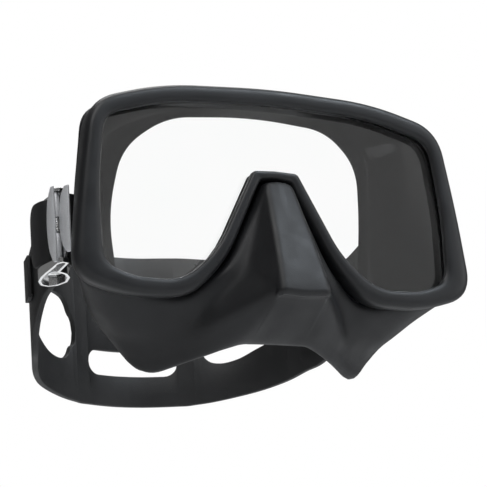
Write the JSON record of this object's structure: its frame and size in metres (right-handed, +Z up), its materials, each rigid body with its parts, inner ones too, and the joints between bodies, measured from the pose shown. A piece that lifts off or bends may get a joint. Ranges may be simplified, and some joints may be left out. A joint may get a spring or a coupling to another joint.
{
  "type": "diving_mask",
  "caption": "Single-lens black silicone diving mask with a nose pocket, swivel roller buckles and a wide split head strap",
  "frame": {"origin": "centre of the face opening, where the wearer's face meets the seal", "axes": "+X to the right of someone facing the mask's front, +Y back towards the wearer and the strap, +Z up; the lens faces -Y"},
  "size_m": [0.1634, 0.1543, 0.1034],
  "materials": {
    "silicone": "matte",
    "rim_rubber": "satin",
    "strap_silicone": "matte",
    "glass": "clear",
    "frame_plastic": "matte",
    "buckle_black": "gloss",
    "chrome": "polished",
    "satin_plate": "satin",
    "steel": "brushed"
  },
  "bodies": {
    "mask": {"skirt": "silicone", "lens": "glass", "lens_frame": "frame_plastic", "front_rim": "rim_rubber", "left_bracket": "buckle_black", "right_bracket": "buckle_black", "left_cover_plate": "satin_plate", "right_cover_plate": "satin_plate", "left_pivot_pin": "steel", "right_pivot_pin": "steel"},
    "harness": {"strap": "strap_silicone", "left_keeper": "strap_silicone", "right_keeper": "strap_silicone"},
    "left_buckle": {"left_buckle_frame": "chrome", "left_lever_pin": "steel", "left_lever_spring": "steel", "left_roller_axle": "steel"},
    "left_lever_arm": {"left_lever": "satin_plate"},
    "left_roller_drum": {"left_roller": "steel"},
    "right_buckle": {"right_buckle_frame": "chrome", "right_lever_pin": "steel", "right_lever_spring": "steel", "right_roller_axle": "steel"},
    "right_lever_arm": {"right_lever": "satin_plate"},
    "right_roller_drum": {"right_roller": "steel"}
  },
  "joints": [
    {"name": "strap_swing", "type": "hinge", "parent": "mask", "child": "harness", "pos_m": [0, -0.01, 0], "axis": [1, 0, 0], "range_deg": [-20, 24]},
    {"name": "left_buckle_swivel", "type": "hinge", "parent": "mask", "child": "left_buckle", "pos_m": [-0.0748, -0.01, 0], "axis": [1, 0, 0], "range_deg": [-20, 24]},
    {"name": "left_lever_release", "type": "hinge", "parent": "left_buckle", "child": "left_lever_arm", "pos_m": [-0.0778, -0.0038, 0], "axis": [0, 0, 1], "range_deg": [0, 11], "stiffness_Nm_per_rad": 0.02},
    {"name": "left_roller_spin", "type": "hinge", "parent": "left_buckle", "child": "left_roller_drum", "pos_m": [-0.0735, 0.009, 0], "axis": [0, 0, 1], "continuous": true},
    {"name": "right_buckle_swivel", "type": "hinge", "parent": "mask", "child": "right_buckle", "pos_m": [0.0748, -0.01, 0], "axis": [1, 0, 0], "range_deg": [-20, 24]},
    {"name": "right_lever_release", "type": "hinge", "parent": "right_buckle", "child": "right_lever_arm", "pos_m": [0.0778, -0.0038, 0], "axis": [0, 0, 1], "range_deg": [-11, 0], "stiffness_Nm_per_rad": 0.02},
    {"name": "right_roller_spin", "type": "hinge", "parent": "right_buckle", "child": "right_roller_drum", "pos_m": [0.0735, 0.009, 0], "axis": [0, 0, 1], "continuous": true}
  ],
  "couplings": [
    {"joint": "left_buckle_swivel", "follows": "strap_swing", "ratio": 1},
    {"joint": "right_buckle_swivel", "follows": "strap_swing", "ratio": 1}
  ]
}
